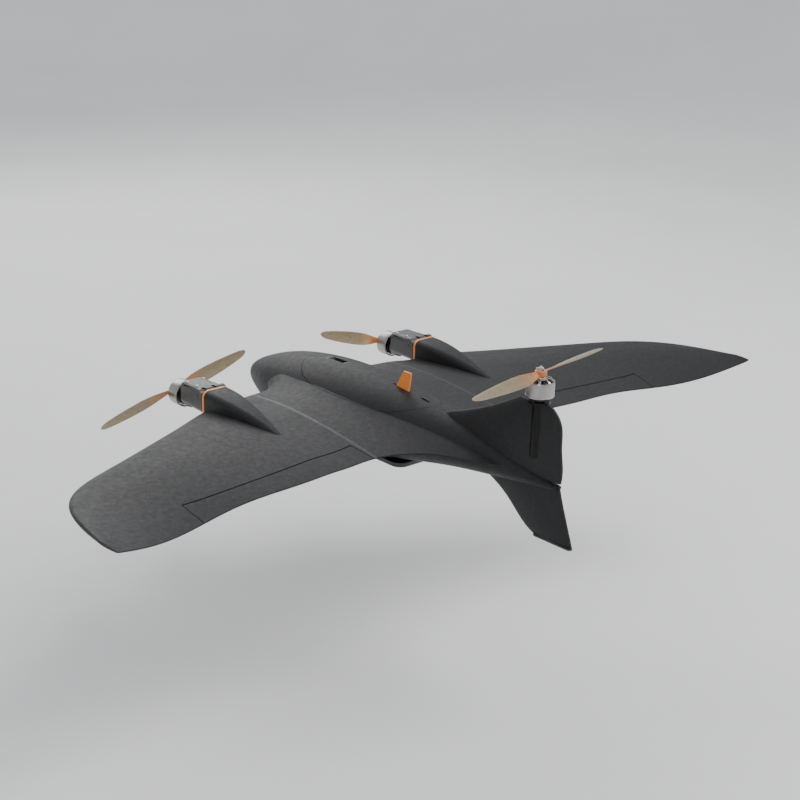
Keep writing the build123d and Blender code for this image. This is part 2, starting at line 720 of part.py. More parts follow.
def propeller(plane, radius, turn, hand):
    """Two-blade propeller: drilled hub and two twisted blades."""
    # share of the radius, share of the widest chord, pitch in degrees, thickness
    shape = [(0.045, 0.45, 32, 4.6), (0.22, 0.86, 27, 2.8), (0.42, 1.0, 19, 2.0), (0.75, 0.82, 13, 1.6),
             (0.97, 0.5, 10, 1.2)]
    for side in (0, 180):
        loft([blade_section(plane, radius * share, turn + side, 0.15 * radius * width, -hand * pitch, thick)
              for share, width, pitch, thick in shape])
    with BuildSketch(plane.offset(hub_start)) as hub:
        Circle(7.0)
    extrude(hub.sketch, amount=hub_height)
    with BuildSketch(plane.offset(hub_start)) as holes:
        Circle(shaft_radius)
        with PolarLocations(bolt_circle, 2, start_angle=turn + 90):
            Circle(1.0)
    extrude(holes.sketch, amount=hub_height, mode=Mode.SUBTRACT)


def prop_fasteners(plane, turn):
    """Nut on the motor shaft and two screws through the hub."""
    top = plane.offset(hub_start + hub_height)
    with BuildSketch(top) as nut:
        RegularPolygon(3.2, 6)
        Circle(shaft_radius, mode=Mode.SUBTRACT)
    extrude(nut.sketch, amount=3.0)
    with BuildSketch(plane.offset(hub_start)) as shanks:
        with PolarLocations(bolt_circle, 2, start_angle=turn + 90):
            Circle(1.0)
    extrude(shanks.sketch, amount=hub_height)
    with BuildSketch(top) as heads:
        with PolarLocations(bolt_circle, 2, start_angle=turn + 90):
            Circle(1.7)
    extrude(heads.sketch, amount=1.6)


front_plane = Plane(origin=(pod_x, nacelle_front - collar_length, motor_z),
                    x_dir=(1, 0, 0), z_dir=(0, -1, 0))
rear_plane = Plane(origin=(0, post_y, post_top + 2.5), x_dir=(1, 0, 0), z_dir=(0, 0, 1))

with BuildPart() as front_motor_base:
    motor_base(front_plane)
write_pair(front_motor_base, "front_motor_base")

with BuildPart() as front_bell:
    motor_bell(front_plane)
write_pair(front_bell, "front_bell")

with BuildPart() as front_prop:
    propeller(front_plane, front_radius, -front_blade_angle, 1)
write_pair(front_prop, "front_prop")

with BuildPart() as front_prop_nut:
    prop_fasteners(front_plane, -front_blade_angle)
write_pair(front_prop_nut, "front_prop_nut")

with BuildPart() as rear_motor_base:
    motor_base(rear_plane)
write(rear_motor_base, "rear_motor_base")

with BuildPart() as rear_bell:
    motor_bell(rear_plane)
write(rear_bell, "rear_bell")

with BuildPart() as rear_prop:
    propeller(rear_plane, rear_radius, rear_blade_angle, 1)
write(rear_prop, "rear_prop")

with BuildPart() as rear_prop_screws:
    prop_fasteners(rear_plane, rear_blade_angle)
write(rear_prop_screws, "rear_prop_screws")

with BuildPart() as motor_post:
    with Locations((0, post_y, (post_foot + post_top) / 2)):
        Cylinder(post_radius, post_top - post_foot)
        Cylinder(post_radius - 1.5, post_top - post_foot, mode=Mode.SUBTRACT)
    with Locations((0, post_y, post_top + 1.25)):
        Cylinder(12.5, 2.5)
write(motor_post, "motor_post")

# ---- equipment in the bay ----------------------------------------------------------------------
battery_y0, battery_y1 = -203.0, -78.0
battery_half = 22.0
tray_z = floor_z + 4.0
battery_height = 36.0
strap_thick = 1.4
strap_y = -140.0
strap_width = 20.0

with BuildPart() as battery_tray:
    slab(-25, 25, battery_y0, battery_y1 + 4, tray_z, tray_z + 1.8)
    for x in (-23.7, 23.7):
        slab(x - 1.3, x + 1.3, battery_y0, battery_y1, floor_z + 0.1, tray_z)
        slab(x - 1.4, x + 1.4, strap_y - 11, strap_y + 11, floor_z, tray_z + 2, mode=Mode.SUBTRACT)
write(battery_tray, "battery_tray")

battery_z = tray_z + 2.0
with BuildPart() as battery:
    slab(-battery_half, battery_half, battery_y0, battery_y1, battery_z, battery_z + battery_height)
    fillet(battery.edges().filter_by(Axis.Y), 5)
    slab(-8, 8, battery_y1, battery_y1 + 8, battery_z + 12, battery_z + 20)
write(battery, "battery")

with BuildPart() as battery_strap:
    strap_low = tray_z - 0.3 - strap_thick
    strap_high = battery_z + battery_height + 0.2 + strap_thick
    strap_half = battery_half + 1.0 + strap_thick
    with BuildSketch(Plane.XZ.offset(strap_width / 2 - strap_y)):
        with Locations((0, (strap_low + strap_high) / 2)):
            RectangleRounded(2 * strap_half, strap_high - strap_low, strap_thick + 1)
            RectangleRounded(2 * (strap_half - strap_thick), strap_high - strap_low - 2 * strap_thick, 1,
                             mode=Mode.SUBTRACT)
    extrude(amount=-strap_width)
write(battery_strap, "battery_strap")

board_z = floor_z + 0.2
with BuildPart() as flight_controller:
    slab(-18, 18, -46, -10, board_z, board_z + 12)
    fillet(flight_controller.edges().filter_by(Axis.Z), 2)
    slab(-6, 6, -47.5, -46, board_z + 3, board_z + 7)
write(flight_controller, "flight_controller")

with BuildPart() as speed_controllers:
    slab(20.4, 28, -46, -10, board_z, board_z + 16)
    slab(-28, -20.4, -46, -10, board_z, board_z + 16)
    slab(-26, -8, -5, 30, board_z, board_z + 7)
write(speed_controllers, "speed_controllers")

with BuildPart() as power_module:
    slab(8, 25, -5, 24, board_z, board_z + 9)
write(power_module, "power_module")

with BuildPart() as gps_module:
    slab(-5, 17, 27, 46, board_z, board_z + 8)
write(gps_module, "gps_module")
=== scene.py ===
"""Looks of the tilt-rotor flying wing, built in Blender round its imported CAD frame.

Metres, +Z up, nose towards -Y, port wing towards +X, the same frame as the CAD.
"""
import json
import math

import bmesh
import bpy
import numpy as np
from mathutils import Matrix, Vector


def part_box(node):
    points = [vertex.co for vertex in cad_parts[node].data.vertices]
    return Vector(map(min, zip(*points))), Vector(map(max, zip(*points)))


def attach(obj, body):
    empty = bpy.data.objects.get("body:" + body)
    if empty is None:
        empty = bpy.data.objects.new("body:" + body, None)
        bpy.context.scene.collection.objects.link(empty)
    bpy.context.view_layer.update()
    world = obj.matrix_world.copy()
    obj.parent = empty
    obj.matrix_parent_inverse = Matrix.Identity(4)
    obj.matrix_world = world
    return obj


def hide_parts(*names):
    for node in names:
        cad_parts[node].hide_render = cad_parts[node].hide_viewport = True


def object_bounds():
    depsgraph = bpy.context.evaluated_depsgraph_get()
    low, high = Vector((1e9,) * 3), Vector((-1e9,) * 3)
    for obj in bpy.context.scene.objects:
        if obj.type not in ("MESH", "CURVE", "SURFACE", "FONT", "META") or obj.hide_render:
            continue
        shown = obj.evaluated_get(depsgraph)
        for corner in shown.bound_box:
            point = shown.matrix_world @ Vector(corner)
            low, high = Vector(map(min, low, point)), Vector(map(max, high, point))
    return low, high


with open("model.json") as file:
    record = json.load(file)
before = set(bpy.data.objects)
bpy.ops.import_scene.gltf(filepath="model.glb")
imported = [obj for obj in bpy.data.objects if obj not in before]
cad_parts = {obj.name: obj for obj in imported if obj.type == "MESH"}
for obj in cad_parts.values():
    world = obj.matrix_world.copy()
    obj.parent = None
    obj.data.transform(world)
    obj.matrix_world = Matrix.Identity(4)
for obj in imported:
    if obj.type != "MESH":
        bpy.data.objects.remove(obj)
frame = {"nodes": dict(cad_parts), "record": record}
cad_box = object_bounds()

MM = 0.001
BOX_FACES = [(3, 2, 1, 0), (4, 5, 6, 7), (0, 1, 5, 4), (1, 2, 6, 5), (2, 3, 7, 6), (3, 0, 4, 7)]


# ---- camera, floor and light ------------------------------------------------------------------------
def camera_matrix(place, azimuth, elevation, roll):
    """Camera pose from its place and its angles, azimuth 0 looking along +Y."""
    az, el, turn = (math.radians(a) for a in (azimuth, elevation, roll))
    back = Vector((math.sin(az) * math.cos(el), -math.cos(az) * math.cos(el), math.sin(el)))
    right = Vector((0, 0, 1)).cross(back).normalized()
    up = back.cross(right)
    across = right * math.cos(turn) + up * math.sin(turn)
    upward = up * math.cos(turn) - right * math.sin(turn)
    pose = Matrix((across, upward, back)).transposed().to_4x4()
    pose.translation = place
    return pose


CAMERA_PLACE = (1.2384, 1.3963, 0.7227)
CAMERA_AZIMUTH, CAMERA_ELEVATION, CAMERA_ROLL = 138.09, 19.28, 1.44
CAMERA_LENS = 72.2


def make_camera():
    """Camera behind the port wing, a little above the aircraft."""
    data = bpy.data.cameras.new("camera")
    data.lens = CAMERA_LENS
    data.sensor_width = 36.0
    data.clip_end = 30.0
    camera = bpy.data.objects.new("camera", data)
    bpy.context.scene.collection.objects.link(camera)
    camera.matrix_world = camera_matrix(CAMERA_PLACE, CAMERA_AZIMUTH, CAMERA_ELEVATION, CAMERA_ROLL)
    bpy.context.scene.camera = camera


def area_light(name, place, aim, size, power):
    """White soft box of a given size and power, turned towards a point."""
    data = bpy.data.lights.new(name, "AREA")
    data.shape = "RECTANGLE"
    data.size, data.size_y = size
    data.energy = power
    light = bpy.data.objects.new(name, data)
    bpy.context.scene.collection.objects.link(light)
    light.location = place
    light.rotation_mode = "QUATERNION"
    light.rotation_quaternion = (Vector(aim) - Vector(place)).to_track_quat("-Z", "Y")


FLOOR_DROP = 0.20       # height of the flying aircraft above the floor
BACKDROP = [(0.0, 0.0), (1.5, 0.0), (3.2, 0.0), (4.2, 0.12), (5.0, 0.5), (5.6, 1.3), (6.0, 3.0)]


def make_studio():
    """Pale floor that curves up into a backdrop all round, soft boxes and a grey surrounding."""
    floor_z = cad_box[0].z - FLOOR_DROP
    verts, faces = revolve_grid(BACKDROP, 96)
    mesh = bpy.data.meshes.new("studio_floor")
    mesh.from_pydata([(x, y, z + floor_z) for x, y, z in verts], [], faces)
    mesh.polygons.foreach_set("use_smooth", [True] * len(mesh.polygons))
    floor = bpy.data.objects.new("studio_floor", mesh)
    bpy.context.scene.collection.objects.link(floor)
    mesh.materials.append(floor_material())
    area_light("key", (-1.6, 1.2, 2.4), (0, 0, 0.05), (1.6, 2.4), 70)
    area_light("fill", (2.6, 2.0, 1.6), (0, 0, 0.05), (2.0, 1.6), 24)
    area_light("nose", (-0.8, -2.6, 1.5), (0, -0.1, 0.05), (2.4, 1.2), 36)
    world = bpy.data.worlds.new("surroundings")
    world.use_nodes = True
    world.node_tree.nodes["Background"].inputs["Color"].default_value = (0.86, 0.88, 0.92, 1)
    world.node_tree.nodes["Background"].inputs["Strength"].default_value = 0.70
    bpy.context.scene.world = world


def revolve_grid(rings, segments):
    """Vertices and faces of a profile of (radius, height) points turned about Z."""
    verts, faces, rows = [], [], []
    for radius, height in rings:
        if radius == 0:
            rows.append([len(verts)] * segments)
            verts.append((0, 0, height))
            continue
        rows.append([len(verts) + k for k in range(segments)])
        for k in range(segments):
            angle = 2 * math.pi * k / segments
            verts.append((radius * math.cos(angle), radius * math.sin(angle), height))
    for low, high in zip(rows, rows[1:]):
        for k in range(segments):
            nxt = (k + 1) % segments
            corners = [low[k], low[nxt], high[nxt], high[k]]
            faces.append(tuple(dict.fromkeys(corners)))
    return verts, faces


# ---- material kit -----------------------------------------------------------------------------------
class Paint:
    """A new material with a Principled shader and short ways to add nodes to it."""

    def __init__(self, name, **sockets):
        self.material = bpy.data.materials.new(name)
        self.material.use_nodes = True
        self.tree = self.material.node_tree
        self.shader = self.tree.nodes["Principled BSDF"]
        self.where = self.add("ShaderNodeTexCoord").outputs["Object"]
        for socket, value in sockets.items():
            self.shader.inputs[socket.replace("_", " ")].default_value = value

    def add(self, kind, **settings):
        made = self.tree.nodes.new(kind)
        for key, value in settings.items():
            setattr(made, key, value)
        return made

    def join(self, output, target):
        self.tree.links.new(output, target)

    def scaled(self, scale):
        """The object's coordinates stretched by a factor along each axis."""
        mapping = self.add("ShaderNodeMapping")
        mapping.inputs["Scale"].default_value = scale
        self.join(self.where, mapping.inputs["Vector"])
        return mapping.outputs["Vector"]

    def noise(self, scale, detail=3.0, rough=0.55, where=None):
        made = self.add("ShaderNodeTexNoise")
        made.inputs["Scale"].default_value = scale
        made.inputs["Detail"].default_value = detail
        made.inputs["Roughness"].default_value = rough
        self.join(where or self.where, made.inputs["Vector"])
        return made.outputs["Fac"]

    def cells(self, scale, feature="F1", output="Distance", where=None):
        made = self.add("ShaderNodeTexVoronoi", feature=feature)
        made.inputs["Scale"].default_value = scale
        self.join(where or self.where, made.inputs["Vector"])
        return made.outputs[output]

    def ramp(self, value, *stops):
        """Colour ramp with stops of (position, colour)."""
        made = self.add("ShaderNodeValToRGB")
        points = made.color_ramp.elements
        while len(points) < len(stops):
            points.new(0.5)
        for point, (position, colour) in zip(points, stops):
            point.position = position
            point.color = (*colour, 1)
        self.join(value, made.inputs["Fac"])
        return made.outputs["Color"]

    def spread(self, value, low, high, from_low=0.0, from_high=1.0):
        """The value mapped from one range onto another."""
        made = self.add("ShaderNodeMapRange")
        made.inputs["From Min"].default_value = from_low
        made.inputs["From Max"].default_value = from_high
        made.inputs["To Min"].default_value = low
        made.inputs["To Max"].default_value = high
        self.join(value, made.inputs["Value"])
        return made.outputs["Result"]

    def math(self, kind, a, b):
        made = self.add("ShaderNodeMath", operation=kind)
        for socket, value in zip(made.inputs, (a, b)):
            if isinstance(value, (int, float)):
                socket.default_value = value
            else:
                self.join(value, socket)
        return made.outputs["Value"]

    def mix(self, kind, share, a, b):
        """Two colours mixed; the share may be a number or a socket."""
        made = self.add("ShaderNodeMix", data_type="RGBA", blend_type=kind)
        for socket, value in ((made.inputs["Factor"], share), (made.inputs[6], a), (made.inputs[7], b)):
            if isinstance(value, bpy.types.NodeSocket):
                self.join(value, socket)
            else:
                socket.default_value = value
        return made.outputs[2]

    def colour(self, output):
        self.join(output, self.shader.inputs["Base Color"])

    def roughness(self, output):
        self.join(output, self.shader.inputs["Roughness"])

    def bump(self, height, distance, strength=1.0):
        """Bump of the given height in metres, on top of any bump already there."""
        made = self.add("ShaderNodeBump")
        made.inputs["Strength"].default_value = strength
        made.inputs["Distance"].default_value = distance
        self.join(height, made.inputs["Height"])
        target = self.shader.inputs["Normal"]
        if target.is_linked:
            self.join(target.links[0].from_socket, made.inputs["Normal"])
        self.join(made.outputs["Normal"], target)


def grey(level):
    return (level, level, level * 1.03)


def floor_material():
    paint = Paint("studio_paper", Roughness=0.9)
    tone = paint.noise(3.0, 4.0)
    paint.colour(paint.ramp(tone, (0.3, (0.82, 0.82, 0.815)), (0.7, (0.86, 0.86, 0.855))))
    paint.bump(paint.noise(900.0, 2.0), 0.0001)
    return paint.material


def foam_material():
    """Moulded bead foam: flattened beads with fine grooves, each a little lighter or darker."""
    paint = Paint("bead_foam", Sheen_Weight=0.03, Sheen_Roughness=0.5, Specular_IOR_Level=0.27)
    bead = 1 / (2.0 * MM)
    tint = paint.add("ShaderNodeSeparateColor")
    paint.join(paint.cells(bead, output="Color"), tint.inputs["Color"])
    groove = paint.cells(bead, "DISTANCE_TO_EDGE")
    flat = paint.spread(groove, 0.0, 1.0, 0.0, 0.10)
    bead_tone = paint.ramp(tint.outputs["Red"], (0.0, grey(0.0125)), (0.6, grey(0.0155)), (1.0, grey(0.020)))
    cloudy = paint.ramp(paint.noise(7.0, 3.0), (0.35, grey(0.90)), (0.65, grey(1.0)))
    tone = paint.mix("MULTIPLY", 1.0, bead_tone, cloudy)
    paint.colour(paint.mix("MIX", flat, (*grey(0.009), 1), tone))
    paint.roughness(paint.spread(paint.noise(160.0, 3.0), 0.47, 0.60, 0.3, 0.7))
    paint.bump(flat, 0.00007, 0.7)
    paint.bump(paint.noise(1500.0, 2.0), 0.00004, 0.6)
    return paint.material


def moulded_material(name, low, high, rough, grain=1400.0, scuffs=0.1):
    """Moulded plastic with fine spark grain, slight colour drift and faint scuffs."""
    paint = Paint(name, Specular_IOR_Level=0.5)
    drift = paint.noise(35.0, 4.0)
    scratch = paint.noise(60.0, 6.0, 0.75, paint.scaled((1.0, 6.0, 2.0)))
    worn = paint.spread(scratch, 0.0, scuffs, 0.62, 0.72)
    base = paint.ramp(drift, (0.3, low), (0.7, high))
    lighter = tuple(min(1.0, c * 1.6 + 0.03) for c in high)
    paint.colour(paint.mix("MIX", worn, base, (*lighter, 1)))
    paint.roughness(paint.spread(paint.noise(240.0, 3.0), rough - 0.07, rough + 0.09, 0.3, 0.7))
    paint.bump(paint.noise(grain, 2.0), 0.00004, 0.8)
    return paint.material


def metal_material(name, low, high, rough, stretch=(40.0, 40.0, 1800.0)):
    """Machined metal with fine tool lines across its axis and uneven polish."""
    paint = Paint(name, Metallic=1.0)
    lines = paint.noise(1.0, 2.0, 0.5, paint.scaled(stretch))
    paint.colour(paint.ramp(paint.noise(120.0, 3.0), (0.3, low), (0.7, high)))
    paint.roughness(paint.spread(lines, rough - 0.08, rough + 0.10, 0.3, 0.7))
    paint.bump(lines, 0.00003, 0.7)
    return paint.material


def carbon_material():
    """Pulled carbon tube: fibres along its length under a thin gloss."""
    paint = Paint("pulled_carbon", Specular_IOR_Level=0.14, Coat_Weight=0.08, Coat_Roughness=0.05)
    fibres = paint.noise(1.0, 4.0, 0.6, paint.scaled((2600.0, 2600.0, 60.0)))
    paint.colour(paint.ramp(fibres, (0.35, grey(0.003)), (0.65, grey(0.009))))
    paint.roughness(paint.spread(fibres, 0.18, 0.32, 0.3, 0.7))
    paint.bump(fibres, 0.00002, 0.5)
    return paint.material


def prop_material():
    """Smoky amber moulding, orange at the root, with swirls of filler and a satin polish."""
    paint = Paint("smoky_amber", Transmission_Weight=0.30, IOR=1.5, Coat_Weight=0.25, Coat_Roughness=0.25)
    reach = paint.add("ShaderNodeVectorMath", operation="LENGTH")
    flat = paint.scaled((1.0, 1.0, 0.0))
    paint.join(flat, reach.inputs[0])
    along = paint.spread(reach.outputs["Value"], 0.0, 1.0, 0.0, 0.12)
    swirl = paint.noise(90.0, 5.0, 0.6, paint.scaled((1.0, 3.0, 3.0)))
    tone = paint.ramp(along, (0.05, (0.78, 0.24, 0.05)), (0.20, (0.55, 0.26, 0.10)),
                      (0.38, (0.36, 0.27, 0.16)), (0.95, (0.40, 0.32, 0.21)))
    veil = paint.ramp(swirl, (0.3, (0.78, 0.76, 0.74)), (0.7, (1.0, 1.0, 1.0)))
    paint.colour(paint.mix("MULTIPLY", 1.0, tone, veil))
    paint.roughness(paint.spread(paint.noise(300.0, 3.0), 0.26, 0.42, 0.3, 0.7))
    paint.bump(paint.noise(700.0, 2.0), 0.00003, 0.6)
    return paint.material


def copper_material():
    """Enamelled winding wire, strands side by side."""
    paint = Paint("winding", Metallic=0.85, Coat_Weight=0.6, Coat_Roughness=0.15)
    strands = paint.add("ShaderNodeTexWave", wave_type="BANDS", bands_direction="Y")
    strands.inputs["Scale"].default_value = 420.0
    strands.inputs["Distortion"].default_value = 0.6
    paint.join(paint.where, strands.inputs["Vector"])
    paint.colour(paint.ramp(strands.outputs["Fac"], (0.1, (0.16, 0.05, 0.02)), (0.8, (0.62, 0.27, 0.12))))
    paint.roughness(paint.spread(paint.noise(400.0), 0.28, 0.42, 0.3, 0.7))
    paint.bump(strands.outputs["Fac"], 0.00012, 0.8)
    return paint.material


def webbing_material():
    """Woven nylon webbing: a twill of warp and weft, with a little fluff."""
    paint = Paint("webbing", Roughness=0.85, Sheen_Weight=0.4, Sheen_Roughness=0.4)
    warp = paint.add("ShaderNodeTexWave", wave_type="BANDS", bands_direction="Y")
    weft = paint.add("ShaderNodeTexWave", wave_type="BANDS", bands_direction="DIAGONAL")
    for wave, scale in ((warp, 260.0), (weft, 180.0)):
        wave.inputs["Scale"].default_value = scale
        wave.inputs["Distortion"].default_value = 0.4
        paint.join(paint.where, wave.inputs["Vector"])
    weave = paint.math("MULTIPLY", warp.outputs["Fac"], weft.outputs["Fac"])
    paint.colour(paint.ramp(weave, (0.05, grey(0.012)), (0.8, grey(0.06))))
    paint.bump(weave, 0.00025, 0.9)
    return paint.material


def board_material():
    """Solder mask over copper: faint tracks and ground pour."""
    paint = Paint("solder_mask", Coat_Weight=0.5, Coat_Roughness=0.2)
    tracks = paint.cells(420.0, "DISTANCE_TO_EDGE")
    paint.colour(paint.ramp(tracks, (0.02, (0.02, 0.10, 0.06)), (0.10, (0.01, 0.045, 0.03))))
    paint.roughness(paint.spread(paint.noise(300.0), 0.30, 0.45, 0.3, 0.7))
    paint.bump(tracks, 0.00004, 0.5)
    return paint.material


finishes = {
    "foam_black": foam_material(),
    "carbon": carbon_material(),
    "grey_plastic": moulded_material("nacelle_plastic", grey(0.042), grey(0.056), 0.36, scuffs=0.2),
    "orange_plastic": moulded_material("orange_moulding", (0.84, 0.25, 0.045), (0.92, 0.31, 0.065), 0.40),
    "black_plastic": moulded_material("black_moulding", grey(0.018), grey(0.026), 0.48),
    "servo_case": moulded_material("servo_case", (0.018, 0.022, 0.045), (0.028, 0.034, 0.07), 0.30),
    "servo_arm": moulded_material("white_nylon", (0.62, 0.62, 0.60), (0.72, 0.72, 0.70), 0.42),
    "steel": metal_material("steel_wire", (0.50, 0.50, 0.52), (0.62, 0.62, 0.64), 0.28, (900.0, 60.0, 900.0)),
    "magnet": metal_material("nickel_plate", (0.60, 0.60, 0.61), (0.72, 0.71, 0.70), 0.22),
    "motor_silver": metal_material("anodised_silver", (0.33, 0.32, 0.305), (0.44, 0.43, 0.41), 0.36),
    "motor_black": metal_material("anodised_black", grey(0.030), grey(0.045), 0.38),
    "prop_amber": prop_material(),
    "battery_wrap": moulded_material("shrink_wrap", (0.018, 0.022, 0.035), (0.03, 0.036, 0.055), 0.28, 500.0),
    "strap": webbing_material(),
    "circuit": board_material(),
    "skid_plastic": moulded_material("tough_moulding", grey(0.030), grey(0.042), 0.52, 900.0, 0.4),
}
copper = copper_material()
tinned = metal_material("tinned_metal", (0.55, 0.55, 0.57), (0.70, 0.70, 0.72), 0.34, (300.0, 300.0, 300.0))

for part in frame["record"]["subparts"]:
    mesh = frame["nodes"][part["node"]].data
    mesh.materials.clear()
    mesh.materials.append(finishes[part["material_slot"]])


def round_edges(piece, width, angle, segments=3, harden=True):
    """Rounded edges, in metres, wherever two faces meet at more than an angle in degrees."""
    edge = piece.modifiers.new("soft_edges", "BEVEL")
    edge.width = width
    edge.segments = segments
    edge.limit_method = "ANGLE"
    edge.angle_limit = math.radians(angle)
    edge.harden_normals = harden


def soften(node, width):
    """Rounded edges on a CAD node's plain boxes, in millimetres."""
    piece = frame["nodes"][node]
    weld = piece.modifiers.new("weld", "WELD")
    weld.merge_threshold = 0.01 * MM
    round_edges(piece, width * MM, 40)


for node, width in (("tilt_servos", 0.6), ("elevon_servos", 0.6), ("flight_controller", 0.7),
                    ("gps_module", 0.7), ("speed_controllers", 0.7), ("power_module", 0.5),
                    ("battery_tray", 0.4)):
    soften(node, width)


# ---- mesh kit -----------------------------------------------------------------------------------------
def add_piece(name, verts, faces, material, body, place=Matrix(), mirrored=False, bevel=0.0, sharp=35.0):
    """New mesh object from metre coordinates, placed and riding on a body."""
    if mirrored:
        verts = [(-x, y, z) for x, y, z in verts]
        faces = [tuple(reversed(f)) for f in faces]
    mesh = bpy.data.meshes.new(name)
    mesh.from_pydata(verts, [], faces)
    mesh.validate()
    tidy = bmesh.new()
    tidy.from_mesh(mesh)
    bmesh.ops.recalc_face_normals(tidy, faces=tidy.faces)
    tidy.to_mesh(mesh)
    tidy.free()
    mesh.polygons.foreach_set("use_smooth", [True] * len(mesh.polygons))
    mesh.set_sharp_from_angle(angle=math.radians(sharp))
    mesh.materials.append(material)
    piece = bpy.data.objects.new(name, mesh)
    bpy.context.scene.collection.objects.link(piece)
    piece.matrix_world = place
    if bevel:
        round_edges(piece, bevel, 30)
    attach(piece, body)
    return piece


def merge(parts):
    """One list of vertices and one of faces from several (verts, faces) pairs."""
    verts, faces = [], []
    for more_verts, more_faces in parts:
        start = len(verts)
        verts += list(more_verts)
        faces += [tuple(start + i for i in face) for face in more_faces]
    return verts, faces


def moved(part, place):
    """The same part, moved by a matrix."""
    verts, faces = part
    return [tuple(place @ Vector(v)) for v in verts], faces


def block(x0, x1, y0, y1, z0, z1):
    """Box between two limits along each axis, in millimetres."""
    verts = [(x * MM, y * MM, z * MM) for z in (z0, z1) for x, y in ((x0, y0), (x1, y0), (x1, y1), (x0, y1))]
    return verts, BOX_FACES


def turned(rings, segments=48):
    """Closed turned body from (radius, height) points in millimetres."""
    return revolve_grid([(r * MM, z * MM) for r, z in rings], segments)


def screw_heads(seats, radius, height):
    """Button screw heads with a socket, standing on the given (x, y, z) seats in millimetres."""
    head = turned([(0, height * 0.4), (radius * 0.45, height * 0.4), (radius * 0.5, height),
                   (radius * 0.8, height), (radius, height * 0.6), (radius, 0), (0, 0)], 24)
    return merge([moved(head, Matrix.Translation(Vector(seat) * MM)) for seat in seats])


def motor_place(name):
    """Pose of a motor's mounting face: local z along the shaft, towards the propeller."""
    low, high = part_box(name)
    centre = (low + high) / 2
    if name.startswith("rear"):
        place = Matrix.Identity(4)
        place.translation = (centre.x, centre.y, low.z)
    else:
        place = Matrix(((1, 0, 0), (0, 0, -1), (0, 1, 0))).to_4x4()
        place.translation = (centre.x, high.y, centre.z)
    return place


# ---- motors and propellers ------------------------------------------------------------------------------
# body of a motor's fixed half and of its turning half, front or rear, CAD suffix, mirrored or not
motors = [
    ("nacelle_port", "front_rotor_port", "front", "_port", False),
    ("nacelle_starboard", "front_rotor_starboard", "front", "_starboard", True),
    ("airframe", "rear_rotor", "rear", "", False),
]
# heights count from the motor's mounting face, all in millimetres
RIM_START = 5.5
HUB_START = 28.1
HUB_HEIGHT = 7.0
BELL_WALL = 1.9
BELL_WINDOWS = 8
TEETH = 12
MAGNETS = 14
SCREW_CIRCLE = 10.0
SCREW_SEAT = 2.5
REAR_BLADE_TURN, FRONT_BLADE_TURN = 9.4, -15.0      # degrees from the X axis
TIP_ROUNDING = 1.012    # a round tip reaches a little further than the propeller's width shows


def bell_skin():
    """Outside of the bell, turned, with a groove round its foot and open windows in its shoulder."""
    rings = [(16.3, RIM_START), (16.5, 5.8), (16.5, 7.6), (16.15, 7.8), (16.15, 8.4), (16.5, 8.6),
             (16.5, 21.8), (16.2, 23.2), (15.2, 24.5), (13.2, 25.5), (11.8, 25.9), (9.0, 26.3),
             (6.9, 26.5), (6.6, 27.8), (6.3, HUB_START), (1.6, HUB_START)]
    segments = 96
    window_rows = range(7, 11)
    pitch = segments // BELL_WINDOWS
    verts, faces = turned(rings, segments)
    kept = [face for i, face in enumerate(faces)
            if i // segments not in window_rows or i % segments % pitch > pitch - 4]
    return verts, kept


def arc_block(inner, outer, low, high, centre, half, steps=4):
    """Closed block between two radii and two heights, over an arc; millimetres and degrees."""
    angles = [math.radians(centre + half * (2 * k / steps - 1)) for k in range(steps + 1)]
    verts = [(r * MM * math.cos(a), r * MM * math.sin(a), z * MM)
             for a in angles for r, z in ((inner, low), (outer, low), (outer, high), (inner, high))]
    faces = [(4 * k + j, 4 * k + (j + 1) % 4, 4 * k + 4 + (j + 1) % 4, 4 * k + 4 + j)
             for k in range(steps) for j in range(4)]
    last = 4 * steps
    return verts, faces + [(3, 2, 1, 0), (last, last + 1, last + 2, last + 3)]


def squared(value, power):
    """A cosine or sine pushed outwards, which turns a circle into a rounded square."""
    return math.copysign(abs(value) ** power, value)


def coil(angle):
    """Winding round one stator tooth: a rounded loop with a swollen, rounded skin."""
    steps, sides = 28, 8
    turn = math.radians(angle)
    verts, faces = [], []
    for k in range(steps):
        t = 2 * math.pi * k / steps
        out_across, out_along = math.cos(t), math.sin(t)
        across = 2.05 * squared(out_across, 0.45)
        along = 13.5 + 7.4 * squared(out_along, 0.45)
        for j in range(sides):
            u = 2 * math.pi * j / sides
            radial = 9.0 + 2.3 * squared(math.cos(u), 0.7)
            swell = 0.45 * math.sin(u)
            x, y, z = radial, across + out_across * swell, along + out_along * swell
            verts.append(((x * math.cos(turn) - y * math.sin(turn)) * MM,
                          (x * math.sin(turn) + y * math.cos(turn)) * MM, z * MM))
    for k in range(steps):
        for j in range(sides):
            a, b = k * sides + j, k * sides + (j + 1) % sides
            c, d = (k + 1) % steps * sides + (j + 1) % sides, (k + 1) % steps * sides + j
            faces.append((a, b, c, d))
    return verts, faces


